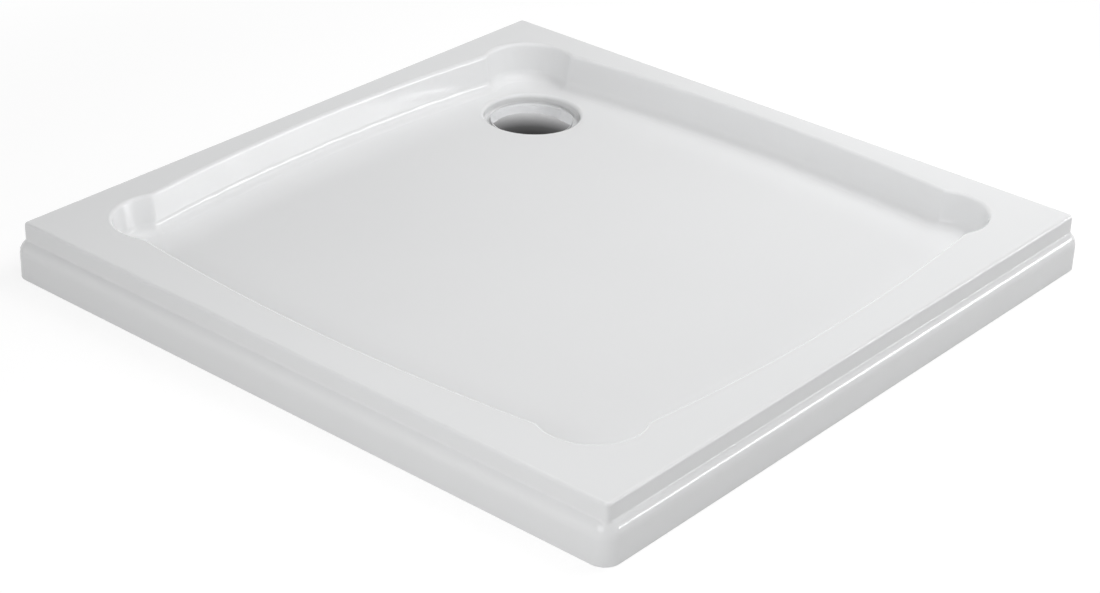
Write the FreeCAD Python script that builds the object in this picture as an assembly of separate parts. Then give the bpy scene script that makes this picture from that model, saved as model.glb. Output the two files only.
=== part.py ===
import FreeCAD, Part
import math
import os

# A low square shower tray with a moulded apron, bowed basin sides and a round lobe in each corner,
# with its waste set in the corner that stands against the walls.
# Millimetres. The origin is on the ground below the middle of the tray, +Z is up, and the waste is
# in the (-X, +Y) corner. Heights are stacked up from the ground, where the apron stands.

# Outside of the tray
side_length = 900.0             # across the foot of the apron
overall_height = 69.0           # ground to rim
acrylic_thickness = 3.2
upper_setback = 10.0            # of the upper band from the foot band
upper_corner_radius = 5.0
lower_corner_radius = 20.0
rim_edge_radius = 4.0
band_height = 20.5              # rim to the top of the rolled moulding
roll_radius = 18.0
crease_radius = 3.0             # where the upper band meets the roll

# Basin
floor_height = 23.0             # ground to the floor of the basin, in its middle
floor_fall = 0.25               # degrees, down towards the waste corner
rim_width = 43.0                # upper band to the middle of a bowed side, before the shift
basin_shift = 9.0               # of the basin towards the waste corner, along X and along Y
bow_rise = 21.5                 # of a bowed side, from beside the lobes' centres to its middle
lobe_inset = 71.0               # middle of a bowed side to the centre of a lobe, across the side
lobe_radius = 60.0
cusp_radius = 11.0              # of the soft point where a lobe meets a bowed side
basin_edge_radius = 5.0
wall_batter = 8.0               # degrees from upright
foot_radius = 14.0              # between wall and floor

# Recess and hole for the waste
drain_setback = 162.0           # waste axis to the two nearest outer faces
recess_radius = 64.0
recess_edge_radius = 4.0
recess_foot_radius = 3.0
waste_hole_radius = 45.0

# Glass-fibre backing, bonded under the acrylic and levelled under the floor
backing_thickness = 2.5
backing_waste_gap = 6.0         # between the recess and the opening in the backing

# Timber and pads under the tray
pad_thickness = 2.5
board_margin = 59.0             # the board's edge inside the middle of a bowed side
board_corner_radius = 40.0
board_waste_gap = 14.0          # between the recess and the cut-out in the board
rail_gap = 4.6                  # between the rails and the basin on the two wall sides
rail_end_gap = 2.0              # between the longer rails and the apron
block_leg = 42.0                # of the triangular corner blocks
rail_pad_length = 60.0
rail_pad_setback = 160.0        # of the outer pads from the ends of the foot band
board_pad_width = 60.0
board_pad_setback = 88.0        # of the outer pads from the edges of the board

# Seals, flange and clamp ring of the waste
ground_gap = 0.5                # ground to the underside of the clamp ring
upper_seal_thickness = 1.0
lower_seal_thickness = 1.2
seal_width = 8.0
hole_gap = 0.5                  # round the flange, in the hole of the tray
flange_radius = 54.0
flange_thickness = 1.5
flange_chamfer = 0.7
dish_depth = 2.0                # top of the flange to the seat of the strainer
dish_slope = 2.0
throat_radius = 35.0            # opening through the flange
clamp_radius = 56.0
clamp_thickness = 3.0
collar_gap = 1.0                # round the collar of the clamp ring, in the hole of the tray
bore_radius = 34.5              # through the collar
outlet_radius = 36.0            # socket for the trap, in the underside
outlet_depth = 4.0
screw_count = 4
screw_circle_radius = 39.5
screw_radius = 2.0
screw_head_radius = 3.4
screw_head_height = 1.4
screw_cover = 1.2               # of the clamp ring left below each screw
screw_fit = 0.05

# Strainer and its sealing ring
strainer_gap = 0.4              # round the rim of the strainer, in its seat
strainer_rim_thickness = 1.5
basket_gap = 1.1                # round the basket, in the throat
basket_depth = 3.2              # below the rim of the strainer
basket_floor = 1.2
basket_wall = 1.6
slot_count = 16
slot_width = 3.0
slot_inner_radius = 13.0
slot_outer_radius = 28.0
socket_radius = 6.0             # takes the stem of the cover
socket_wall = 2.5
socket_height = 2.6             # above the rim of the strainer
ring_gap = 0.1                  # between the sealing ring and the throat
ring_bite = 0.4                 # of the sealing ring into the wall of the basket

# Cover and its hub
flow_gap = 2.2                  # top of the flange to the edge of the cover
cover_radius = 55.0
cover_lip = 1.4                 # height of the turned-down edge
cover_rise = 6.0                # of the dome above its edge
cover_edge_radius = 0.8
cover_thickness = 1.5
hub_radius = 14.0
hub_gap = 0.5                   # hub to socket, upwards and sideways
stem_gap = 0.2                  # round the stem, in the socket
seat_gap = 0.2                  # ribs to the rim of the strainer
rib_count = 3
rib_thickness = 2.4
rib_reach = 41.0                # waste axis to the end of a rib

# Worked-out places
half = side_length / 2.0
upper_half = half - upper_setback
rim = overall_height
skin = acrylic_thickness + backing_thickness
basin_half_width = upper_half - rim_width
lobe_offset = basin_half_width - lobe_inset
bow_radius = (lobe_offset ** 2 + bow_rise ** 2) / (2 * bow_rise)
board_half_width = basin_half_width - board_margin
rail_width = rim_width - basin_shift - 2 * skin - rail_gap
rail_pad_spacing = half - rail_pad_setback
board_pad_spacing = board_half_width - board_pad_setback
up = FreeCAD.Vector(0, 0, 1)
origin = FreeCAD.Vector(0, 0, 0)
basin_centre = FreeCAD.Vector(-basin_shift, basin_shift, 0)
drain_x = drain_setback - half
drain_y = half - drain_setback
fall = math.tan(math.radians(floor_fall))
drain_floor = floor_height - fall * (half - drain_setback) * math.sqrt(2)
lobe_floor = floor_height - fall * (lobe_offset * math.sqrt(2) + lobe_radius)
board_top = lobe_floor - skin
clamp_top = ground_gap + clamp_thickness
recess_underside = clamp_top + lower_seal_thickness
recess_floor = recess_underside + acrylic_thickness
flange_low = recess_floor + upper_seal_thickness
flange_top = flange_low + flange_thickness
dish_top = flange_top - dish_depth
dish_low = dish_top - flange_thickness
dish_outer = waste_hole_radius - hole_gap
dish_inner = dish_outer - flange_thickness
strainer_top = dish_top + strainer_rim_thickness
basket_radius = throat_radius - basket_gap
basket_low = dish_top - basket_depth
socket_top = strainer_top + socket_height
cover_low = flange_top + flow_gap
cover_edge = cover_low + cover_lip
rail_top = rim - skin
rail_face = upper_half - skin
deep = 20.0                     # a plain distance that reaches past the ground


def rounded_box(half_width, corner_radius, low, high, centre=origin):
    """A square block with rounded upright edges."""
    corner = FreeCAD.Vector(centre.x - half_width, centre.y - half_width, low)
    block = Part.makeBox(2 * half_width, 2 * half_width, high - low, corner)
    upright = [edge for edge in block.Edges if abs(edge.tangentAt(edge.FirstParameter).z) > 0.5]
    return block.makeFillet(corner_radius, upright)


def edges_between(shape, low, high):
    """The edges that lie between two heights."""
    return [edge for edge in shape.Edges
            if low < edge.BoundBox.ZMin and edge.BoundBox.ZMax < high]


def edges_at(shape, height):
    """The edges that lie in one level plane."""
    return edges_between(shape, height - 1e-4, height + 1e-4)


def tray_block(inset, foot):
    """The outside of the tray, or the surface that lies the given distance inside it."""
    roll_top = rim - band_height - inset
    roll = roll_radius - inset
    lower = rounded_box(half - inset, lower_corner_radius - inset, foot, roll_top)
    lower = lower.makeFillet(roll, edges_at(lower, roll_top))
    upper = rounded_box(upper_half - inset, max(upper_corner_radius - inset, 1.0), roll_top - roll, rim - inset)
    if rim_edge_radius > inset:
        upper = upper.makeFillet(rim_edge_radius - inset, edges_at(upper, rim - inset))
    block = lower.fuse(upper).removeSplitter()
    steepness = math.acos((roll - upper_setback) / roll)
    crease = roll_top - roll * (1 - math.sin(steepness))
    reach = roll / 4
    return block.makeFillet(crease_radius + inset, edges_between(block, crease - reach, crease + reach))


def towards(centre, target, distance):
    """The point at a distance from a centre, in the direction of a target."""
    return centre + FreeCAD.Vector(target.sub(centre)).normalize() * distance


def swapped(point):
    """The point mirrored in the diagonal of a corner."""
    return FreeCAD.Vector(point.y, point.x, point.z)


def basin_outline(growth, height):
    """The basin's outline, grown outwards: four bowed sides, four lobes and the soft points between."""
    bow_centre = FreeCAD.Vector(basin_half_width - bow_radius, 0, 0)
    lobe_centre = FreeCAD.Vector(lobe_offset, lobe_offset, 0)
    to_lobe = lobe_centre.sub(bow_centre)
    bow_reach = bow_radius + cusp_radius
    lobe_reach = lobe_radius + cusp_radius
    along = (to_lobe.Length ** 2 + bow_reach ** 2 - lobe_reach ** 2) / (2 * to_lobe.Length)
    aside = math.sqrt(bow_reach ** 2 - along ** 2)
    ahead = FreeCAD.Vector(to_lobe).normalize()
    cusp_centre = bow_centre + ahead * along + FreeCAD.Vector(ahead.y, -ahead.x, 0) * aside

    bow_end = towards(bow_centre, cusp_centre, bow_radius + growth)
    bow_start = FreeCAD.Vector(bow_end.x, -bow_end.y, 0)
    bow_middle = FreeCAD.Vector(basin_half_width + growth, 0, 0)
    lobe_start = towards(lobe_centre, cusp_centre, lobe_radius + growth)
    lobe_middle = lobe_centre + FreeCAD.Vector(1, 1, 0) * ((lobe_radius + growth) / math.sqrt(2))
    cusp_middle = towards(cusp_centre, (bow_end + lobe_start) * 0.5, cusp_radius - growth)
    arcs = ((bow_start, bow_middle, bow_end),
            (bow_end, cusp_middle, lobe_start),
            (lobe_start, lobe_middle, swapped(lobe_start)),
            (swapped(lobe_start), swapped(cusp_middle), swapped(bow_end)))
    edges = []
    for quarter in range(4):
        turn = FreeCAD.Rotation(up, 90 * quarter)
        for points in arcs:
            placed = [turn.multVec(point) + basin_centre + up * height for point in points]
            edges.append(Part.Arc(*placed).toShape())
    return Part.Wire(edges)


def floor_slab(lowering):
    """Everything below the sloping floor of the basin, lowered by the given distance."""
    slab = Part.makeBox(4 * half, 4 * half, rim, FreeCAD.Vector(-2 * half, -2 * half, -rim))
    slope = FreeCAD.Rotation(FreeCAD.Vector(1, 1, 0), -floor_fall)
    slab.Placement = FreeCAD.Placement(basin_centre + up * (floor_height - lowering), slope)
    return slab


def basin_pocket(growth):
    """The hollow of the basin, grown on its walls and floor by the given distance."""
    lean = math.radians(wall_batter)
    levels = (floor_height - growth - deep, rim + deep)
    sections = [basin_outline(growth / math.cos(lean) + (level - rim) * math.tan(lean), level)
                for level in levels]
    pocket = Part.makeLoft(sections, True, True).cut(floor_slab(growth))
    bottom = min(pocket.Faces, key=lambda face: face.CenterOfMass.z)
    return pocket.makeFillet(foot_radius + growth, bottom.Edges)


def drain_cylinder(radius, low, high):
    """A cylinder on the axis of the waste."""
    return Part.makeCylinder(radius, high - low, FreeCAD.Vector(drain_x, drain_y, low))


def waste_recess(growth):
    """The round recess for the waste, grown by the given distance."""
    low = recess_floor - growth
    hollow = drain_cylinder(recess_radius + growth, low, rim)
    foot = min(recess_foot_radius, (drain_floor - recess_floor) / 3)
    return hollow.makeFillet(foot + growth, edges_at(hollow, low)[:1])


def is_recess_edge(edge):
    """Whether an edge is the round one where the floor of the basin meets the recess."""
    box = edge.BoundBox
    across = max(box.XLength, box.YLength) / 2
    beside = abs(box.Center.x - drain_x) + abs(box.Center.y - drain_y)
    return abs(across - recess_radius) < skin and beside < skin and box.ZMax > recess_floor + recess_foot_radius


def tray_body(inset, foot):
    """The tray as a solid whose skin lies the given distance inside the finished surface."""
    body = tray_block(inset, foot).cut(basin_pocket(inset))
    if basin_edge_radius > inset:
        within = basin_half_width + basin_shift + basin_edge_radius + inset
        edges = [edge for edge in edges_at(body, rim - inset)
                 if max(abs(edge.BoundBox.Center.x), abs(edge.BoundBox.Center.y)) < within]
        body = body.makeFillet(basin_edge_radius - inset, edges)
    body = body.cut(waste_recess(inset))
    edge_radius = min(recess_edge_radius, (drain_floor - recess_floor) / 2)
    if edge_radius > inset:
        body = body.makeFillet(edge_radius - inset, [edge for edge in body.Edges if is_recess_edge(edge)])
    return body


def tray_shell():
    """The formed acrylic sheet: rim, basin, recess and apron in one piece."""
    shell = tray_body(0, 0).cut(tray_body(acrylic_thickness, -deep))
    return shell.cut(drain_cylinder(waste_hole_radius, -deep, rim))


def fibre_backing():
    """The glass-fibre laminate under the acrylic, built up to a level bed for the board."""
    lean = math.tan(math.radians(wall_batter))
    inside = tray_body(skin, -deep)
    bed_outline = basin_outline((floor_height - rim) * lean - foot_radius, board_top)
    inside = inside.cut(Part.Face(bed_outline).extrude(up * (floor_height - board_top)))
    backing = tray_body(acrylic_thickness, board_top).cut(inside)
    return backing.cut(drain_cylinder(recess_radius + acrylic_thickness + backing_waste_gap, -deep, rim))


def base_board():
    """The board under the basin floor, cut away round the waste."""
    board = rounded_box(board_half_width, board_corner_radius, pad_thickness, board_top, basin_centre)
    radius = recess_radius + skin + board_waste_gap
    cut = drain_cylinder(radius, 0, rim)
    corner = FreeCAD.Vector(drain_x - half, drain_y - radius, 0)
    cut = cut.fuse(Part.makeBox(half, half, rim, corner))
    corner = FreeCAD.Vector(drain_x + radius - half, drain_y, 0)
    cut = cut.fuse(Part.makeBox(half, half, rim, corner))
    return board.cut(cut)


def rim_rail(side, half_length):
    """A timber rail on edge under the rim, on the side that the given number of quarter turns gives."""
    corner = FreeCAD.Vector(rail_face - rail_width, -half_length, pad_thickness)
    rail = Part.makeBox(rail_width, 2 * half_length, rail_top - pad_thickness, corner)
    return rail.rotate(origin, up, 90 * side)


def corner_blocks():
    """Triangular blocks glued into the corners between the rails."""
    inner = rail_face - rail_width
    corners = [FreeCAD.Vector(inner, inner, pad_thickness),
               FreeCAD.Vector(inner - block_leg, inner, pad_thickness),
               FreeCAD.Vector(inner, inner - block_leg, pad_thickness)]
    face = Part.Face(Part.makePolygon(corners + corners[:1]))
    block = face.extrude(up * (rail_top - pad_thickness))
    return Part.Compound([block.copy().rotate(origin, up, 90 * quarter) for quarter in range(4)])


def rail_pads():
    """Rubber pads under the rails."""
    pads = []
    for quarter in range(4):
        for step in (-1, 0, 1):
            middle = step * rail_pad_spacing
            corner = FreeCAD.Vector(rail_face - rail_width, middle - rail_pad_length / 2, 0)
            pad = Part.makeBox(rail_width, rail_pad_length, pad_thickness, corner)
            pads.append(pad.rotate(origin, up, 90 * quarter))
    return Part.Compound(pads)


def board_pads():
    """Rubber pads under the board, on a square grid that leaves out the waste."""
    pads = []
    for column in (-1, 0, 1):
        for row in (-1, 0, 1):
            if (column, row) == (-1, 1):
                continue
            middle = basin_centre + FreeCAD.Vector(column, row, 0) * board_pad_spacing
            pads.append(rounded_box(board_pad_width / 2, board_pad_width / 6, 0, pad_thickness, middle))
    return Part.Compound(pads)


def turned(profile):
    """A solid turned about the axis of the waste from (radius, height) points."""
    points = [FreeCAD.Vector(drain_x + radius, drain_y, height) for radius, height in profile]
    face = Part.Face(Part.makePolygon(points + points[:1]))
    return face.revolve(FreeCAD.Vector(drain_x, drain_y, 0), up, 360)


def flat_ring(inner_radius, outer_radius, low, high):
    """A flat ring about the axis of the waste."""
    return drain_cylinder(outer_radius, low, high).cut(drain_cylinder(inner_radius, low, high))


def lower_seal():
    """The flat seal between the clamp ring and the underside of the tray."""
    inner = waste_hole_radius + hole_gap
    return flat_ring(inner, inner + seal_width, clamp_top, recess_underside)


def upper_seal():
    """The flat seal between the recess and the flange."""
    inner = waste_hole_radius + hole_gap
    return flat_ring(inner, inner + seal_width, recess_floor, flange_low)


def flange_screw(fit):
    """One countersunk screw on the axis of the waste, or its hole with a fit all round."""
    head_low = dish_top - screw_head_height
    axis_foot = FreeCAD.Vector(drain_x, drain_y, head_low)
    head = Part.makeCone(screw_radius + fit, screw_head_radius + fit, screw_head_height, axis_foot)
    shank = drain_cylinder(screw_radius + fit, ground_gap + screw_cover - fit, head_low)
    return head.fuse(shank).removeSplitter()


def round_the_waste(shape, radius, count):
    """Copies of a shape that stands on the axis of the waste, on a circle round it."""
    copies = []
    for index in range(count):
        copy = shape.copy()
        copy.translate(FreeCAD.Vector(radius, 0, 0))
        copies.append(copy.rotate(FreeCAD.Vector(drain_x, drain_y, 0), up, 360 * (index + 0.5) / count))
    return copies


def flange_screws():
    """The screws that draw the flange and the clamp ring together through the tray."""
    return Part.Compound(round_the_waste(flange_screw(0), screw_circle_radius, screw_count))


def waste_flange():
    """The steel flange in the recess, with a dished seat for the strainer."""
    flange = turned([(throat_radius, dish_low), (dish_outer, dish_low), (dish_outer, flange_low),
                     (flange_radius, flange_low), (flange_radius, flange_top - flange_chamfer),
                     (flange_radius - flange_chamfer, flange_top), (dish_inner + dish_slope, flange_top),
                     (dish_inner, dish_top), (throat_radius, dish_top)])
    return flange.cut(Part.Compound(round_the_waste(flange_screw(screw_fit), screw_circle_radius, screw_count)))


def clamp_ring():
    """The ring under the tray, with a collar up through its hole and a socket for the trap below."""
    collar = waste_hole_radius - collar_gap
    socket_roof = ground_gap + outlet_depth
    ring = turned([(outlet_radius, ground_gap), (clamp_radius, ground_gap), (clamp_radius, clamp_top),
                   (collar, clamp_top), (collar, dish_low), (bore_radius, dish_low),
                   (bore_radius, socket_roof), (outlet_radius, socket_roof)])
    return ring.cut(Part.Compound(round_the_waste(flange_screw(screw_fit), screw_circle_radius, screw_count)))


def sealing_ring():
    """The round rubber ring on the basket of the strainer."""
    outer = throat_radius - ring_gap
    inner = basket_radius - ring_bite
    centre = FreeCAD.Vector(drain_x, drain_y, (dish_low + dish_top) / 2)
    return Part.makeTorus((outer + inner) / 2, (outer - inner) / 2, centre, up)


def strainer():
    """The hair strainer: a slotted basket with a socket for the cover."""
    socket_outer = socket_radius + socket_wall
    floor_top = basket_low + basket_floor
    body = turned([(0, basket_low), (basket_radius, basket_low), (basket_radius, dish_top),
                   (dish_inner - strainer_gap, dish_top), (dish_inner - strainer_gap, strainer_top),
                   (basket_radius - basket_wall, strainer_top), (basket_radius - basket_wall, floor_top),
                   (socket_outer, floor_top), (socket_outer, socket_top),
                   (socket_radius, socket_top), (socket_radius, floor_top), (0, floor_top)])
    length = slot_outer_radius - slot_inner_radius
    corner = FreeCAD.Vector(drain_x - length / 2, drain_y - slot_width / 2, basket_low - basket_floor)
    slot = Part.makeBox(length, slot_width, 3 * basket_floor, corner)
    ends = [edge for edge in slot.Edges if abs(edge.tangentAt(edge.FirstParameter).z) > 0.5]
    slot = slot.makeFillet(slot_width * 0.45, ends)
    middle_radius = (slot_outer_radius + slot_inner_radius) / 2
    slots = Part.Compound(round_the_waste(slot, middle_radius, slot_count))
    return body.cut(slots).cut(sealing_ring())


def dome(radius, edge, rise, low):
    """A solid dome about the axis of the waste, with an upright edge below its cap."""
    centre = FreeCAD.Vector(drain_x, drain_y, 0)
    apex = centre + up * (edge + rise)
    edge_point = centre + FreeCAD.Vector(radius, 0, edge)
    ball_radius = (radius ** 2 + rise ** 2) / (2 * rise)
    ball_centre = apex - up * ball_radius
    middle = towards(ball_centre, (apex + edge_point) * 0.5, ball_radius)
    cap = Part.Arc(apex, middle, edge_point).toShape()
    rest = Part.makePolygon([edge_point, centre + FreeCAD.Vector(radius, 0, low), centre + up * low, apex])
    return Part.Face(Part.Wire([cap] + rest.Edges)).revolve(centre, up, 360)


def cover_inside():
    """The hollow under the dome of the cover."""
    return dome(cover_radius - cover_thickness, cover_edge - cover_thickness, cover_rise, basket_low)


def waste_cover():
    """The domed cover over the waste."""
    outside = dome(cover_radius, cover_edge, cover_rise, cover_low)
    outside = outside.makeFillet(cover_edge_radius, edges_at(outside, cover_edge)[:1])
    return outside.cut(cover_inside())


def cover_hub():
    """The hub under the cover: a stem for the strainer's socket and ribs that stand on its rim."""
    hub_low = socket_top + hub_gap
    top = cover_edge + cover_rise
    hub = drain_cylinder(hub_radius, hub_low, top)
    for index in range(rib_count):
        corner = FreeCAD.Vector(drain_x, drain_y - rib_thickness / 2, strainer_top + seat_gap)
        rib = Part.makeBox(rib_reach, rib_thickness, top - corner.z, corner)
        hub = hub.fuse(rib.rotate(FreeCAD.Vector(drain_x, drain_y, 0), up, 360 * index / rib_count))
    hub = hub.cut(drain_cylinder(socket_radius + socket_wall + hub_gap, 0, hub_low))
    stem_low = basket_low + basket_floor + hub_gap
    hub = hub.fuse(drain_cylinder(socket_radius - stem_gap, stem_low, top))
    return hub.common(cover_inside()).removeSplitter()


def assembly():
    """Every piece of the tray by name."""
    long_rail = rail_face - rail_end_gap
    short_rail = rail_face - rail_width
    return {
        "tray_shell": tray_shell(),
        "fibre_backing": fibre_backing(),
        "base_board": base_board(),
        "rail_right": rim_rail(0, short_rail),
        "rail_back": rim_rail(1, long_rail),
        "rail_left": rim_rail(2, short_rail),
        "rail_front": rim_rail(3, long_rail),
        "corner_blocks": corner_blocks(),
        "rail_pads": rail_pads(),
        "board_pads": board_pads(),
        "lower_seal": lower_seal(),
        "clamp_ring": clamp_ring(),
        "upper_seal": upper_seal(),
        "waste_flange": waste_flange(),
        "flange_screws": flange_screws(),
        "strainer": strainer(),
        "sealing_ring": sealing_ring(),
        "cover_hub": cover_hub(),
        "waste_cover": waste_cover(),
    }


os.makedirs("parts", exist_ok=True)
for node, shape in assembly().items():
    shape.exportStep("parts/" + node + ".step")
    box = shape.BoundBox
    print(node, "solids", len(shape.Solids), "valid", shape.isValid(), "volume %.0f" % shape.Volume,
          "z %.2f to %.2f" % (box.ZMin, box.ZMax))
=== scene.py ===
import math

import bmesh
import bpy
from bpy.props import FloatProperty, FloatVectorProperty, PointerProperty
from mathutils import Matrix, Vector


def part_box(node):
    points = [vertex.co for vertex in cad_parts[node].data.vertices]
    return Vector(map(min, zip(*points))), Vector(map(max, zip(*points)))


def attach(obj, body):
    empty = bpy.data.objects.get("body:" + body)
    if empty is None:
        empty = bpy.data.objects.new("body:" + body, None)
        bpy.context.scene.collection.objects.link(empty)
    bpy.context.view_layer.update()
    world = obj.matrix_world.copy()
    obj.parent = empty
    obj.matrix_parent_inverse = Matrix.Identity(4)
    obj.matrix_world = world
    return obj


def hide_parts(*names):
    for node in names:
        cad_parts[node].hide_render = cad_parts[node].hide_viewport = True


bl_info = {
    "name": "Square shower tray",
    "version": (1, 0, 0),
    "blender": (4, 5, 0),
    "location": "3D View > Sidebar > Shower Tray",
    "description": "Finishes the packed shower tray and its waste set, and lights them in a studio",
    "category": "Object",
}

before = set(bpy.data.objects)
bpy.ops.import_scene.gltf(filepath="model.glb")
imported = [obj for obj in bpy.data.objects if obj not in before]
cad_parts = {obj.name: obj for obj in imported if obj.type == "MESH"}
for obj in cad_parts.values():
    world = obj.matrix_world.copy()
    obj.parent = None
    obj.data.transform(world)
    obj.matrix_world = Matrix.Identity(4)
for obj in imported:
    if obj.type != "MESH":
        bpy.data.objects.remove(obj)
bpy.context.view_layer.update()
RIM_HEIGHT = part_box("tray_shell")[1].z
FLANGE_LOW, FLANGE_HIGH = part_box("waste_flange")
WASTE_X = (FLANGE_LOW.x + FLANGE_HIGH.x) / 2
WASTE_Y = (FLANGE_LOW.y + FLANGE_HIGH.y) / 2
FULL_TURN = 2 * math.pi
QUARTER_TURN = math.pi / 2

# Sawn timber. Lengths are in metres here and below.
SAWN_PIECES = ("rail_front", "rail_back", "rail_left", "rail_right", "corner_blocks")
SAWN_EDGE = 0.0012
RING_SPACING = 0.0042
RING_HEART_ACROSS = 0.06
RING_HEART_BELOW = 0.09

# Flange screws
SCREW_TURNS = (0.35, 1.2, 0.8, 0.1)
SCREW_SIDES = 48
RECESS_TAPER = 0.6
HEAD_TO_EDGE = 12

# Studio floor: a disc that shows the tray's soft shadow near it, and plain white further out
FLOOR_RADIUS = 12.0
FLOOR_SIDES = 96
SHADED_REACH = 0.7
WHITE_REACH = 1.3
SHADED_GREY = (0.34, 0.34, 0.34, 1.0)
SHADED_GLOW = 0.74
WHITE = (1.0, 1.0, 1.0, 1.0)

# Studio air: how high a direction points, and how bright the air is there
AIR_BRIGHTNESS = (
    (0.0, 1.0), (0.15, 0.93), (0.26, 0.80), (0.36, 0.64), (0.44, 0.49),
    (0.55, 0.26), (0.64, 0.10), (0.72, 0.05), (1.0, 0.05))


# Shader maths

class Wire:
    """One socket of a finish. The usual signs between wires and numbers add Math nodes."""

    def __init__(self, finish, socket):
        self.finish = finish
        self.socket = socket

    def maths(self, operation, *values):
        return self.finish.node("ShaderNodeMath", {"operation": operation}, values)

    def __add__(self, other):
        return self.maths("ADD", self, other)

    __radd__ = __add__

    def __sub__(self, other):
        return self.maths("SUBTRACT", self, other)

    def __rsub__(self, other):
        return self.maths("SUBTRACT", other, self)

    def __mul__(self, other):
        return self.maths("MULTIPLY", self, other)

    __rmul__ = __mul__

    def __pow__(self, other):
        return self.maths("POWER", self, other)

    def __rpow__(self, other):
        return self.maths("POWER", other, self)

    def larger(self, other):
        return self.maths("MAXIMUM", self, other)

    def sine(self):
        return self.maths("SINE", self)

    def between(self, low, high):
        """0 below the low value, 1 above the high one, and a straight line in between."""
        inputs = {"Value": self, "From Min": low, "From Max": high}
        return self.finish.node("ShaderNodeMapRange", {"clamp": True}, inputs, "Result")

    def smooth(self, low, high):
        """0 below the low value, 1 above the high one, and a soft step in between."""
        inputs = {"Value": self, "From Min": low, "From Max": high}
        return self.finish.node("ShaderNodeMapRange", {"interpolation_type": "SMOOTHSTEP"}, inputs, "Result")


class Finish:
    """A node tree of one material, or of the world."""

    def __init__(self, tree):
        self.tree = tree

    def node(self, kind, settings=None, inputs=None, output=0):
        """Adds a node, makes its settings, then gives its sockets their values or links."""
        made = self.tree.nodes.new(kind)
        for name, value in (settings or {}).items():
            if name == "stops":
                self.grey_stops(made.color_ramp, value)
            else:
                setattr(made, name, value)
        pairs = inputs.items() if isinstance(inputs, dict) else enumerate(inputs or ())
        for name, value in pairs:
            self.feed(made.inputs[name], value)
        return Wire(self, made.outputs[output])

    def outputs(self, made, names):
        """The outputs with these names of a node that was made."""
        return [Wire(self, made.socket.node.outputs[name]) for name in names]

    def feed(self, socket, value):
        """Links a wire to a socket, or sets the socket to a plain value."""
        if isinstance(value, Wire):
            self.tree.links.new(value.socket, socket)
        else:
            socket.default_value = value

    def grey_stops(self, ramp, stops):
        """Gives a colour ramp its stops, each a place and a brightness."""
        while len(ramp.elements) < len(stops):
            ramp.elements.new(1.0)
        for element, (place, brightness) in zip(ramp.elements, stops):
            element.position = place
            element.color = (brightness, brightness, brightness, 1.0)

    def place(self):
        """The point on the object, in metres."""
        return self.node("ShaderNodeTexCoord", output="Object")

    def moved(self, vector, shift=(0, 0, 0), turn=(0, 0, 0), scale=(1, 1, 1)):
        """The vector scaled, then turned, then shifted."""
        inputs = {"Vector": vector, "Location": shift, "Rotation": turn, "Scale": scale}
        return self.node("ShaderNodeMapping", {"vector_type": "POINT"}, inputs)

    def split(self, vector):
        """The three parts of a vector."""
        return self.outputs(self.node("ShaderNodeSeparateXYZ", inputs={"Vector": vector}), "XYZ")

    def noise(self, vector, size, detail=2.0, roughness=0.5, distortion=0.0):
        """Soft noise whose lumps are about the given size, in metres."""
        inputs = {
            "Vector": vector, "Scale": 1 / size, "Detail": detail,
            "Roughness": roughness, "Distortion": distortion}
        return self.node("ShaderNodeTexNoise", {"noise_dimensions": "3D"}, inputs, "Fac")

    def cells(self, vector, size, output="Distance"):
        """Cells about the given size across: the distance from their middles, or a colour for each."""
        inputs = {"Vector": vector, "Scale": 1 / size}
        return self.node("ShaderNodeTexVoronoi", {"feature": "F1"}, inputs, output)

    def blend(self, mask, first, second):
        """One colour where the mask is 0, the other where it is 1."""
        made = self.node("ShaderNodeMix", {"data_type": "RGBA"}).socket.node
        self.feed(made.inputs["Factor"], mask)
        for name, value in (("A", first), ("B", second)):
            socket = [s for s in made.inputs if s.name == name and s.type == "RGBA"][0]
            self.feed(socket, value if isinstance(value, Wire) else (*value, 1.0))
        return Wire(self, [s for s in made.outputs if s.type == "RGBA"][0])

    def bump(self, height, depth, under=None):
        """A bump whose height runs from 0 to the given depth, in metres, on top of another bump."""
        inputs = {"Height": height, "Distance": depth, "Strength": 1.0}
        if under is not None:
            inputs["Normal"] = under
        return self.node("ShaderNodeBump", inputs=inputs)


class Surface(Finish):
    """A material with one Principled shader. Constants are set on its own sockets."""

    def __init__(self, name, **constants):
        self.material = bpy.data.materials.new(name)
        self.material.use_nodes = True
        super().__init__(self.material.node_tree)
        self.shader = self.tree.nodes["Principled BSDF"]
        for socket, value in constants.items():
            self.shader.inputs[socket.replace("_", " ")].default_value = value

    def drive(self, **wires):
        """Links wires to the shader's sockets, whose names are written with _ for a space."""
        for socket, wire in wires.items():
            self.feed(self.shader.inputs[socket.replace("_", " ")], wire)

    def paint(self, *pieces):
        """Makes this the only material of the pieces."""
        for piece in pieces:
            piece.data.materials.clear()
            piece.data.materials.append(self.material)


# Pieces

def node(name):
    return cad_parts[name]


def shade(colour, factor):
    """The colour made lighter or darker by a factor."""
    return tuple(min(1.0, c * factor) for c in colour)


def linked(name, data):
    """A new object of the data, in the scene."""
    made = bpy.data.objects.new(name, data)
    bpy.context.scene.collection.objects.link(made)
    return made


def mesh_of(name, form):
    """A mesh from a finished form."""
    mesh = bpy.data.meshes.new(name)
    form.to_mesh(mesh)
    form.free()
    return mesh


def verts_in(parts):
    return [v for v in parts if isinstance(v, bmesh.types.BMVert)]


def soften(piece, width):
    """Rounds the sharp edges of a sawn piece a little, after the loose triangles are joined."""
    weld = piece.modifiers.new("welded corners", "WELD")
    weld.merge_threshold = 0.00002
    bevel = piece.modifiers.new("softened edges", "BEVEL")
    bevel.width = width
    bevel.segments = 2
    bevel.limit_method = "ANGLE"
    bevel.angle_limit = math.radians(35)


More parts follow.
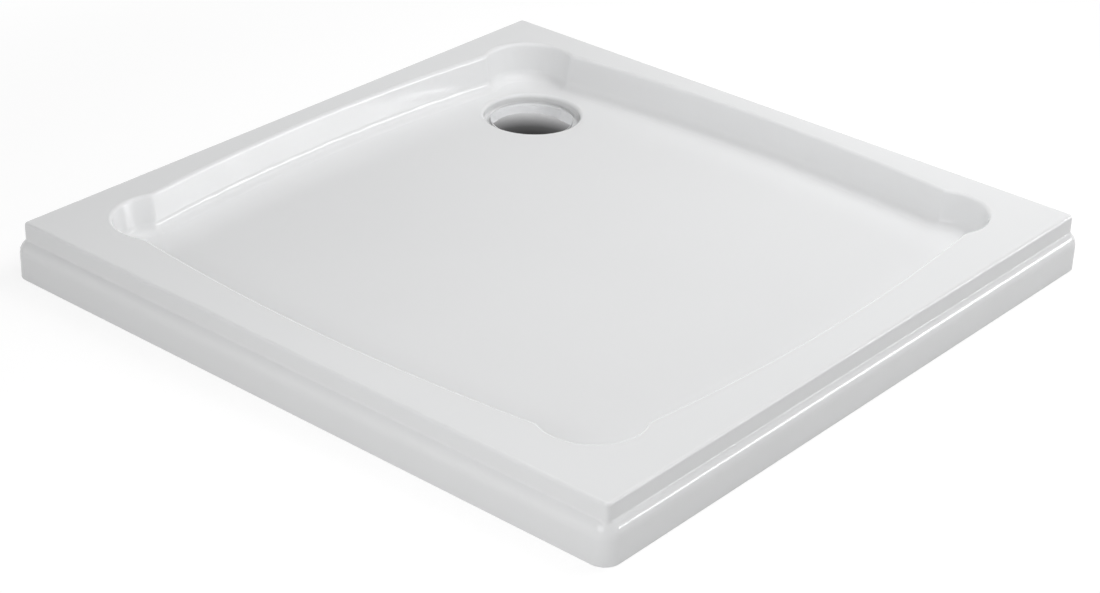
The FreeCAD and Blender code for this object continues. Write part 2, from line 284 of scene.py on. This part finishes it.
def cross_head_screw(form, sizes, length):
    """A countersunk screw with a cross recess, its head at the origin and its shank down the Z axis."""
    half = sizes.recess_width / 2
    reach = sizes.recess_length / 2
    corners = []
    for quarter in range(4):
        turn = Matrix.Rotation(quarter * QUARTER_TURN, 3, "Z")
        for x, y in ((reach, -half), (reach, half), (half, half)):
            corners.append(form.verts.new(turn @ Vector((x, y, 0))))
    cross = [form.edges.new(pair) for pair in zip(corners, corners[1:] + corners[:1])]
    bmesh.ops.create_circle(form, segments=SCREW_SIDES, radius=sizes.head_radius)
    rim = [e for e in form.edges if e not in cross]
    bmesh.ops.triangle_fill(form, use_beauty=True, edges=cross + rim)
    drawn_down(form, cross, sizes.recess_depth, taper=RECESS_TAPER, closed=True)
    neck_taper = sizes.shank_radius / sizes.head_radius
    neck = drawn_down(form, rim, sizes.head_height, taper=neck_taper, closed=False)
    drawn_down(form, neck, length - sizes.head_height, taper=1.0, closed=True)
    bmesh.ops.bevel(
        form, geom=rim, offset=sizes.head_radius / HEAD_TO_EDGE, affect="EDGES",
        segments=2, profile=0.5, material=-1)
    bmesh.ops.recalc_face_normals(form, faces=form.faces)


def drawn_down(form, edges, depth, taper, closed):
    """Walls below a loop of edges, which narrow to a smaller loop, and a floor where closed."""
    made = bmesh.ops.extrude_edge_only(form, edges=edges)["geom"]
    loop = [e for e in made if isinstance(e, bmesh.types.BMEdge) and e.is_boundary]
    bmesh.ops.scale(form, vec=(taper, taper, 1), verts=verts_in(made))
    bmesh.ops.translate(form, vec=(0, 0, -depth), verts=verts_in(made))
    if closed:
        bmesh.ops.contextual_create(form, geom=loop)
    return loop


# Sizes and colours that a user would change

def colour_property(name, description, default):
    return FloatVectorProperty(
        name=name, description=description, subtype="COLOR", size=3, min=0.0, max=1.0, default=default)


class TrayFinishes(bpy.types.PropertyGroup):
    acrylic: colour_property("Acrylic", "Colour of the formed sheet", (0.86, 0.865, 0.87))
    acrylic_roughness: FloatProperty(
        name="Acrylic roughness", description="Roughness of the formed sheet's gloss", subtype="FACTOR",
        min=0.0, max=1.0, default=0.13)
    laminate: colour_property("Laminate", "Colour of the glass-fibre backing", (0.66, 0.62, 0.46))
    board: colour_property("Board", "Colour of the pressed chips", (0.47, 0.31, 0.17))
    timber: colour_property("Timber", "Colour of the sawn rails and blocks", (0.60, 0.42, 0.23))
    pads: colour_property("Pads", "Colour of the rubber pads", (0.035, 0.035, 0.036))


class WasteFinishes(bpy.types.PropertyGroup):
    chrome: colour_property("Chrome", "Tint of the plated cover", (0.92, 0.92, 0.93))
    steel: colour_property("Steel", "Tint of the flange and its screws", (0.64, 0.635, 0.62))
    plastic: colour_property("Strainer", "Colour of the strainer and the cover's hub", (0.27, 0.28, 0.29))
    clamp: colour_property("Clamp ring", "Colour of the clamp ring", (0.70, 0.70, 0.69))
    rubber: colour_property("Seals", "Colour of the seals and the sealing ring", (0.03, 0.03, 0.03))


class ScrewSizes(bpy.types.PropertyGroup):
    circle_radius: FloatProperty(
        name="Circle of screws", description="Radius of the circle that the flange screws stand on",
        unit="LENGTH", min=0.03, max=0.05, default=0.0395)
    head_radius: FloatProperty(
        name="Head radius", description="Radius of a screw head",
        unit="LENGTH", min=0.002, max=0.0034, default=0.0034)
    head_height: FloatProperty(
        name="Head height", description="Height of a screw's countersunk head",
        unit="LENGTH", min=0.001, max=0.0014, default=0.0014)
    shank_radius: FloatProperty(
        name="Shank radius", description="Radius of a screw's shank",
        unit="LENGTH", min=0.001, max=0.002, default=0.002)
    recess_length: FloatProperty(
        name="Recess length", description="Length of the cross recess in a screw head",
        unit="LENGTH", min=0.002, max=0.0055, default=0.0044)
    recess_width: FloatProperty(
        name="Recess width", description="Width of the cross recess in a screw head",
        unit="LENGTH", min=0.0003, max=0.0015, default=0.001)
    recess_depth: FloatProperty(
        name="Recess depth", description="Depth of the cross recess in a screw head",
        unit="LENGTH", min=0.0002, max=0.0014, default=0.0011)


class Studio(bpy.types.PropertyGroup):
    azimuth: FloatProperty(
        name="Camera azimuth", description="Direction of the camera round the tray",
        subtype="ANGLE", default=0.692773)
    elevation: FloatProperty(
        name="Camera elevation", description="Height of the camera above the horizon",
        subtype="ANGLE", default=0.491205)
    roll: FloatProperty(
        name="Camera roll", description="Turn of the camera about its own line of sight",
        subtype="ANGLE", default=0.034379)
    distance: FloatProperty(
        name="Camera distance", description="Camera to the middle of the rim",
        unit="LENGTH", default=3.0365)
    aim_right: FloatProperty(
        name="Aim right", description="Shift of the line of sight to the right",
        unit="LENGTH", default=-0.00863)
    aim_up: FloatProperty(
        name="Aim up", description="Shift of the line of sight upwards",
        unit="LENGTH", default=-0.09234)
    lens: FloatProperty(
        name="Lens", description="Focal length on a 36 mm sensor",
        unit="CAMERA", default=84.24)
    floor: colour_property("Floor", "Colour of the studio floor as it lights the tray", (0.62, 0.62, 0.62))


# Finishes. Sizes of noise and cells and depths of bumps are in metres.

def white_acrylic():
    """Gloss acrylic sheet: faint waves left by forming, a fine grain and a slightly uneven polish."""
    look = bpy.context.scene.tray_finishes
    acrylic = Surface("formed white acrylic", IOR=1.49, Specular_IOR_Level=0.5)
    place = acrylic.place()
    forming = acrylic.noise(place, size=0.16, detail=1.0)
    ripple = acrylic.noise(acrylic.moved(place, scale=(1, 1, 1.6)), size=0.034)
    grain = acrylic.noise(place, size=0.0022, roughness=0.6)
    cloud = acrylic.noise(place, size=0.28, detail=3.0)
    base = tuple(look.acrylic)
    tint = acrylic.blend(cloud.between(0.3, 0.7), shade(base, 0.992), shade(base, 1.006))
    polish = look.acrylic_roughness + 0.05 * (acrylic.noise(place, size=0.09, detail=3.0) - 0.5)
    polish = polish + 0.03 * (grain - 0.5)
    waves = acrylic.bump(forming, depth=0.00022)
    waves = acrylic.bump(ripple, depth=0.00002, under=waves)
    relief = acrylic.bump(grain, depth=0.0000016, under=waves)
    acrylic.drive(Base_Color=tint, Roughness=polish, Normal=relief)
    return acrylic


def glass_fibre():
    """Rough resin with chopped glass strands in all directions."""
    look = bpy.context.scene.tray_finishes
    laminate = Surface("glass-fibre laminate", IOR=1.52)
    place = laminate.place()
    strands = None
    for turn in (0.3, 1.35, 2.5):
        turned = laminate.moved(
            place, shift=(turn, 2 * turn, turn), turn=(0.4 * turn, 0.7, turn), scale=(1.0, 14.0, 6.0))
        streaks = laminate.noise(turned, size=0.03, detail=2.0, roughness=0.6, distortion=0.3)
        layer = streaks.smooth(0.52, 0.66)
        strands = layer if strands is None else strands.larger(layer)
    lumps = laminate.noise(place, size=0.018, detail=4.0, roughness=0.6)
    base = tuple(look.laminate)
    colour = laminate.blend(strands * 0.75, shade(base, 0.82), shade(base, 1.28))
    colour = laminate.blend(lumps.smooth(0.55, 0.75) * 0.5, colour, shade(base, 0.62))
    height = strands * 0.5 + lumps
    polish = 0.32 + 0.35 * lumps + 0.12 * strands
    laminate.drive(Base_Color=colour, Roughness=polish, Normal=laminate.bump(height, depth=0.0011))
    return laminate


def pressed_board():
    """Board of pressed wood chips, each with its own tone."""
    look = bpy.context.scene.tray_finishes
    board = Surface("pressed chip board", IOR=1.45)
    place = board.place()
    layers = board.moved(place, scale=(1.0, 1.0, 3.0))
    sway_inputs = {"Vector": place, "Scale": 60.0, "Detail": 3.0}
    sway = board.node("ShaderNodeTexNoise", inputs=sway_inputs, output="Color")
    push = board.node("ShaderNodeVectorMath", {"operation": "SCALE"}, {"Vector": sway, "Scale": 0.006})
    bent = board.node("ShaderNodeVectorMath", {"operation": "ADD"}, (layers, push))
    chips = board.moved(bent, scale=(1.0, 0.45, 1.0))
    slivers = board.moved(bent, turn=(0, 0, 1.1), scale=(1.0, 0.35, 1.0))
    tone = board.split(board.cells(chips, size=0.0085, output="Color"))[0]
    fine = board.split(board.cells(slivers, size=0.0035, output="Color"))[1]
    gap = board.cells(chips, size=0.0085)
    base = tuple(look.board)
    colour = board.blend(tone, shade(base, 0.62), shade(base, 1.45))
    colour = board.blend(fine.smooth(0.35, 0.9) * 0.55, colour, shade(base, 1.2))
    colour = board.blend(gap.smooth(0.55, 0.8) * 0.6, colour, shade(base, 0.42))
    height = tone * 0.5 + fine * 0.5 - gap
    board.drive(Base_Color=colour, Roughness=0.62 + 0.22 * fine, Normal=board.bump(height, depth=0.0003))
    return board


def sawn_timber(name, turn):
    """Sawn softwood: growth rings drawn out along the piece, dark late wood and saw marks across."""
    look = bpy.context.scene.tray_finishes
    wood = Surface(name, IOR=1.45)
    along = wood.moved(wood.place(), turn=turn)
    drawn = wood.moved(along, shift=(0.1, 0.013, -0.021), scale=(0.055, 1.0, 1.0))
    wobble = wood.noise(drawn, size=0.035)
    y, z = wood.split(drawn)[1:]
    across = y - RING_HEART_ACROSS
    up = z + RING_HEART_BELOW
    radius = (across * across + up * up) ** 0.5
    ring = ((radius + wobble * 0.006) * (FULL_TURN / RING_SPACING)).sine() * 0.5 + 0.5
    fibre = wood.noise(wood.moved(along, scale=(0.03, 1.0, 1.0)), size=0.0011, detail=3.0, roughness=0.65)
    saw = wood.noise(wood.moved(along, scale=(1.0, 0.02, 0.02)), size=0.0016, detail=1.0)
    late = ring ** 4.0
    base = tuple(look.timber)
    dark = (base[0] * 0.72, base[1] * 0.56, base[2] * 0.42)
    colour = wood.blend(late * 0.75, shade(base, 1.18), dark)
    colour = wood.blend(fibre.smooth(0.35, 0.75) * 0.4, colour, shade(base, 0.80))
    height = fibre * 0.5 + saw * 0.6 + late * 0.4
    wood.drive(Base_Color=colour, Roughness=0.58 + 0.25 * fibre, Normal=wood.bump(height, depth=0.00022))
    return wood


def moulded_rubber(name, colour, roughness, ribs=0.0):
    """Rubber with a fine sandy skin, and low ribs this far apart where they are asked for."""
    rubber = Surface(name, IOR=1.5)
    place = rubber.place()
    sand = rubber.noise(place, size=0.0006, roughness=0.7)
    bloom = rubber.noise(place, size=0.02, detail=4.0, roughness=0.6)
    colour = tuple(colour)
    dusty = tuple(c * 1.8 + 0.02 for c in colour)
    relief = rubber.bump(sand, depth=0.00006)
    if ribs:
        x, y = rubber.split(place)[:2]
        relief = rubber.bump(((x + y) * (FULL_TURN / ribs)).sine(), depth=0.00012, under=relief)
    tint = rubber.blend(bloom.smooth(0.45, 0.8) * 0.6, colour, dusty)
    skin = roughness + 0.16 * (bloom - 0.5) + 0.1 * (sand - 0.5)
    rubber.drive(Base_Color=tint, Roughness=skin, Normal=relief)
    return rubber


def moulded_plastic(name, colour, roughness, grain):
    """Injection-moulded plastic with an eroded grain of the given size and faint flow marks."""
    plastic = Surface(name, IOR=1.49)
    place = plastic.place()
    texture = plastic.noise(place, size=grain, roughness=0.6)
    drift = plastic.moved(place, scale=(1, 1, 3))
    flow = plastic.noise(drift, size=0.015, detail=3.0, roughness=0.55, distortion=0.6)
    colour = tuple(colour)
    tint = plastic.blend(flow.between(0.3, 0.75), shade(colour, 0.92), shade(colour, 1.07))
    skin = roughness + 0.14 * (flow - 0.5) + 0.08 * (texture - 0.5)
    plastic.drive(Base_Color=tint, Roughness=skin, Normal=plastic.bump(texture, depth=0.00004))
    return plastic


def turned_steel(name, colour):
    """Stainless steel with the fine rings of a lathe tool about the waste axis."""
    steel = Surface(name, Metallic=1.0)
    centred = steel.moved(steel.place(), shift=(-WASTE_X, -WASTE_Y, 0))
    x, y, z = steel.split(centred)
    radius = (x * x + y * y) ** 0.5
    section = steel.node("ShaderNodeCombineXYZ", inputs=(radius, z, 0.0))
    lathe = steel.noise(section, size=0.00022, roughness=0.7)
    smear = steel.noise(steel.place(), size=0.012, detail=3.0, roughness=0.6)
    colour = tuple(colour)
    tint = steel.blend(smear.between(0.3, 0.7), shade(colour, 0.93), shade(colour, 1.05))
    polish = 0.26 + 0.16 * (smear - 0.5) + 0.14 * (lathe - 0.5)
    steel.drive(Base_Color=tint, Roughness=polish, Normal=steel.bump(lathe, depth=0.000008))
    return steel


def polished_chrome():
    """Mirror-bright plate over a pressed dome, with a trace of haze and hairline polish."""
    look = bpy.context.scene.waste_finishes
    chrome = Surface("polished chrome", Metallic=1.0)
    place = chrome.place()
    haze = chrome.noise(place, size=0.011, detail=4.0, roughness=0.6)
    strokes = chrome.moved(place, turn=(0, 0, 0.6), scale=(0.06, 1.0, 1.0))
    hairline = chrome.noise(strokes, size=0.0004, roughness=0.6)
    pressing = chrome.noise(place, size=0.03, detail=1.0)
    colour = tuple(look.chrome)
    tint = chrome.blend(haze.smooth(0.4, 0.8), colour, shade(colour, 0.955))
    polish = 0.035 + 0.05 * haze.smooth(0.45, 0.85) + 0.012 * (hairline - 0.5)
    chrome.drive(Base_Color=tint, Roughness=polish, Normal=chrome.bump(pressing, depth=0.00003))
    return chrome


# Studio

def lay_floor(look):
    """The floor lights the tray as one grey. A look at it, straight or in gloss, shows it near white."""
    form = bmesh.new()
    bmesh.ops.create_circle(form, cap_ends=True, radius=FLOOR_RADIUS, segments=FLOOR_SIDES)
    mesh = mesh_of("studio_floor", form)
    linked("studio_floor", mesh)
    material = bpy.data.materials.new("studio floor")
    material.use_nodes = True
    finish = Finish(material.node_tree)
    finish.tree.nodes.remove(finish.tree.nodes["Principled BSDF"])
    x, y = finish.split(finish.place())[:2]
    reach = (x * x + y * y) ** 0.5
    path = finish.node("ShaderNodeLightPath")
    eye, gloss, glass = finish.outputs(path, ("Is Camera Ray", "Is Glossy Ray", "Is Transmission Ray"))
    looked_at = eye + gloss + glass
    cloth = finish.node("ShaderNodeBsdfDiffuse", inputs={"Color": (*look.floor, 1.0)})
    shaded = finish.node("ShaderNodeBsdfDiffuse", inputs={"Color": SHADED_GREY})
    glow = finish.node("ShaderNodeEmission", inputs={"Color": WHITE, "Strength": SHADED_GLOW})
    white = finish.node("ShaderNodeEmission", inputs={"Color": WHITE, "Strength": 1.0})
    near = finish.node("ShaderNodeAddShader", inputs=(shaded, glow))
    seen = finish.node("ShaderNodeMixShader", inputs=(reach.smooth(SHADED_REACH, WHITE_REACH), near, white))
    both = finish.node("ShaderNodeMixShader", inputs=(looked_at.between(0.0, 1.0), cloth, seen))
    finish.feed(finish.tree.nodes["Material Output"].inputs["Surface"], both)
    mesh.materials.append(material)


def fill_air():
    """The air is white to the camera. To everything else it is bright at the horizon and dark overhead."""
    world = bpy.data.worlds.new("studio air")
    bpy.context.scene.world = world
    world.use_nodes = True
    finish = Finish(world.node_tree)
    height = finish.split(finish.node("ShaderNodeTexCoord", output="Generated"))[2]
    sweep = finish.node("ShaderNodeValToRGB", {"stops": AIR_BRIGHTNESS}, {"Fac": height}, "Color")
    eye = finish.node("ShaderNodeLightPath", output="Is Camera Ray")
    background = finish.tree.nodes["Background"]
    finish.feed(background.inputs["Color"], finish.blend(eye, sweep, WHITE[:3]))
    background.inputs["Strength"].default_value = 1.0


def area_lamp(name, place, target, width, height, radiance):
    """A soft box at a place, turned to a target. Its light is given as the brightness of its face."""
    data = bpy.data.lights.new(name, "AREA")
    data.shape = "RECTANGLE"
    data.size = width
    data.size_y = height
    data.energy = radiance * 4 * width * height
    lamp = linked(name, data)
    place = Vector(place)
    turn = (Vector(target) - place).to_track_quat("-Z", "Y").to_matrix().to_4x4()
    lamp.matrix_world = Matrix.Translation(place) @ turn
    return lamp


def hang_lamps():
    """Soft boxes above and round the tray, and a card that only shows as the highlights in its gloss.
    The back soft box is the other way about: it lights the tray and isn't seen in its gloss."""
    area_lamp(
        "overhead soft box", place=(0.0, 0.0, 2.4), target=(0.0, 0.0, 0.0),
        width=2.6, height=2.6, radiance=0.70)
    area_lamp(
        "right soft box", place=(0.6, 0.75, 1.5), target=(0.1, 0.1, 0.0),
        width=1.1, height=1.1, radiance=1.1)
    back = area_lamp(
        "back soft box", place=(0.3, 0.9, 1.3), target=(0.1, 0.1, 0.0),
        width=1.0, height=1.0, radiance=1.75)
    back.visible_glossy = False
    card = area_lamp(
        "highlight card", place=(2.45, 2.45, 0.95), target=(0.0, 0.0, 0.05),
        width=1.6, height=0.45, radiance=7.5)
    card.visible_diffuse = False
    area_lamp(
        "front corner soft box", place=(0.5, -1.5, 0.9), target=(0.45, -0.45, 0.05),
        width=0.9, height=0.6, radiance=2.55)
    area_lamp(
        "high front corner soft box", place=(0.7, -0.7, 1.1), target=(0.45, -0.45, 0.0),
        width=0.7, height=0.7, radiance=0.4)


def set_camera(look):
    """The camera looks at the middle of the rim from its azimuth and elevation, rolled and shifted."""
    azimuth, elevation, roll = look.azimuth, look.elevation, look.roll
    ahead = Vector((
        -math.sin(azimuth) * math.cos(elevation),
        math.cos(azimuth) * math.cos(elevation),
        -math.sin(elevation)))
    level = Vector((math.cos(azimuth), math.sin(azimuth), 0.0))
    upright = level.cross(ahead)
    right = level * math.cos(roll) + upright * math.sin(roll)
    up = upright * math.cos(roll) - level * math.sin(roll)
    data = bpy.data.cameras.new("camera")
    data.sensor_width = 36.0
    data.lens = look.lens
    data.clip_start = 0.05
    data.clip_end = 60.0
    camera = linked("camera", data)
    place = right * look.aim_right + up * look.aim_up - ahead * look.distance + Vector((0, 0, RIM_HEIGHT))
    turn = Matrix((right, up, -ahead)).transposed().to_4x4()
    camera.matrix_world = Matrix.Translation(place) @ turn
    bpy.context.scene.camera = camera


# Operators

class TRAY_OT_shell(bpy.types.Operator):
    """Gives the formed sheet its glossy white acrylic"""
    bl_idname = "shower_tray.shell"
    bl_label = "Acrylic shell"
    bl_options = {"REGISTER", "UNDO"}

    def execute(self, context):
        white_acrylic().paint(node("tray_shell"))
        return {"FINISHED"}


class TRAY_OT_backing(bpy.types.Operator):
    """Gives the backing its rough glass-fibre laminate"""
    bl_idname = "shower_tray.backing"
    bl_label = "Glass-fibre backing"
    bl_options = {"REGISTER", "UNDO"}

    def execute(self, context):
        glass_fibre().paint(node("fibre_backing"))
        return {"FINISHED"}


class TRAY_OT_timber(bpy.types.Operator):
    """Gives the board its pressed chips, and the rails and blocks their grain and softened edges"""
    bl_idname = "shower_tray.timber"
    bl_label = "Board, rails and blocks"
    bl_options = {"REGISTER", "UNDO"}

    def execute(self, context):
        pressed_board().paint(node("base_board"))
        sawn_timber("timber along X", (0, 0, 0)).paint(node("rail_front"), node("rail_back"))
        sawn_timber("timber along Y", (0, 0, QUARTER_TURN)).paint(node("rail_left"), node("rail_right"))
        sawn_timber("upright timber", (0, QUARTER_TURN, 0)).paint(node("corner_blocks"))
        for name in SAWN_PIECES:
            soften(node(name), SAWN_EDGE)
        return {"FINISHED"}


class TRAY_OT_pads(bpy.types.Operator):
    """Gives the pads under rails and board their ribbed rubber"""
    bl_idname = "shower_tray.pads"
    bl_label = "Rubber pads"
    bl_options = {"REGISTER", "UNDO"}

    def execute(self, context):
        colour = context.scene.tray_finishes.pads
        rubber = moulded_rubber("ribbed pad rubber", colour, roughness=0.72, ribs=0.004)
        rubber.paint(node("rail_pads"), node("board_pads"))
        return {"FINISHED"}


class WASTE_OT_seals(bpy.types.Operator):
    """Gives the two flat seals and the strainer's ring their black rubber"""
    bl_idname = "shower_tray.seals"
    bl_label = "Seals"
    bl_options = {"REGISTER", "UNDO"}

    def execute(self, context):
        rubber = moulded_rubber("seal rubber", context.scene.waste_finishes.rubber, roughness=0.55)
        rubber.paint(node("lower_seal"), node("upper_seal"), node("sealing_ring"))
        return {"FINISHED"}


class WASTE_OT_plastics(bpy.types.Operator):
    """Gives the clamp ring, the strainer and the cover's hub their moulded plastic"""
    bl_idname = "shower_tray.plastics"
    bl_label = "Clamp ring, strainer and hub"
    bl_options = {"REGISTER", "UNDO"}

    def execute(self, context):
        look = context.scene.waste_finishes
        clamp = moulded_plastic("clamp ring plastic", look.clamp, roughness=0.42, grain=0.0008)
        clamp.paint(node("clamp_ring"))
        strainer = moulded_plastic("strainer plastic", look.plastic, roughness=0.36, grain=0.0006)
        strainer.paint(node("strainer"), node("cover_hub"))
        return {"FINISHED"}


class WASTE_OT_flange(bpy.types.Operator):
    """Gives the flange its turned steel"""
    bl_idname = "shower_tray.flange"
    bl_label = "Flange"
    bl_options = {"REGISTER", "UNDO"}

    def execute(self, context):
        turned_steel("turned flange steel", context.scene.waste_finishes.steel).paint(node("waste_flange"))
        return {"FINISHED"}


class WASTE_OT_screws(bpy.types.Operator):
    """Makes the four flange screws with cross recesses, each turned as it was left when driven home"""
    bl_idname = "shower_tray.screws"
    bl_label = "Flange screws"
    bl_options = {"REGISTER", "UNDO"}

    def execute(self, context):
        sizes = context.scene.screw_sizes
        low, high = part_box("flange_screws")
        form = bmesh.new()
        cross_head_screw(form, sizes, high.z - low.z)
        pattern = form.verts[:] + form.edges[:] + form.faces[:]
        for index, turn in enumerate(SCREW_TURNS):
            copy = bmesh.ops.duplicate(form, geom=pattern)["geom"]
            way = (index + 0.5) * QUARTER_TURN
            x = WASTE_X + sizes.circle_radius * math.cos(way)
            y = WASTE_Y + sizes.circle_radius * math.sin(way)
            place = Matrix.Translation((x, y, high.z)) @ Matrix.Rotation(turn, 4, "Z")
            bmesh.ops.transform(form, matrix=place, verts=verts_in(copy))
        bmesh.ops.delete(form, geom=verts_in(pattern), context="VERTS")
        mesh = mesh_of("cross_head_screws", form)
        mesh.shade_smooth()
        mesh.set_sharp_from_angle(angle=math.radians(25))
        screws = linked("cross_head_screws", mesh)
        turned_steel("screw steel", context.scene.waste_finishes.steel).paint(screws)
        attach(screws, "tray")
        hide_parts("flange_screws")
        return {"FINISHED"}


class WASTE_OT_cover(bpy.types.Operator):
    """Gives the domed cover its chrome plate"""
    bl_idname = "shower_tray.cover"
    bl_label = "Domed cover"
    bl_options = {"REGISTER", "UNDO"}

    def execute(self, context):
        polished_chrome().paint(node("waste_cover"))
        return {"FINISHED"}


class TRAY_OT_studio(bpy.types.Operator):
    """Sets the floor, the soft light and the camera"""
    bl_idname = "shower_tray.studio"
    bl_label = "Studio"
    bl_options = {"REGISTER", "UNDO"}

    def execute(self, context):
        look = context.scene.studio
        lay_floor(look)
        fill_air()
        hang_lamps()
        set_camera(look)
        context.scene.view_settings.view_transform = "Standard"
        return {"FINISHED"}


STEPS = (
    TRAY_OT_shell, TRAY_OT_backing, TRAY_OT_timber, TRAY_OT_pads, WASTE_OT_seals, WASTE_OT_plastics,
    WASTE_OT_flange, WASTE_OT_screws, WASTE_OT_cover, TRAY_OT_studio)


class TRAY_PT_panel(bpy.types.Panel):
    """The steps that finish the tray, in their order, and what they can be given"""
    bl_idname = "TRAY_PT_panel"
    bl_label = "Shower Tray"
    bl_space_type = "VIEW_3D"
    bl_region_type = "UI"
    bl_category = "Shower Tray"

    def draw(self, context):
        for step in STEPS:
            self.layout.operator(step.bl_idname)
        scene = context.scene
        for group in (scene.tray_finishes, scene.waste_finishes, scene.screw_sizes, scene.studio):
            for name in group.__annotations__:
                self.layout.prop(group, name)


GROUPS = {
    "tray_finishes": TrayFinishes, "waste_finishes": WasteFinishes,
    "screw_sizes": ScrewSizes, "studio": Studio}
CLASSES = (*GROUPS.values(), *STEPS, TRAY_PT_panel)


def register():
    for made in CLASSES:
        bpy.utils.register_class(made)
    for name, group in GROUPS.items():
        setattr(bpy.types.Scene, name, PointerProperty(type=group))


def unregister():
    for name in GROUPS:
        delattr(bpy.types.Scene, name)
    for made in reversed(CLASSES):
        bpy.utils.unregister_class(made)


def main():
    register()
    for step in STEPS:
        group, name = step.bl_idname.split(".")
        getattr(getattr(bpy.ops, group), name)()


if __name__ == "__main__":
    main()
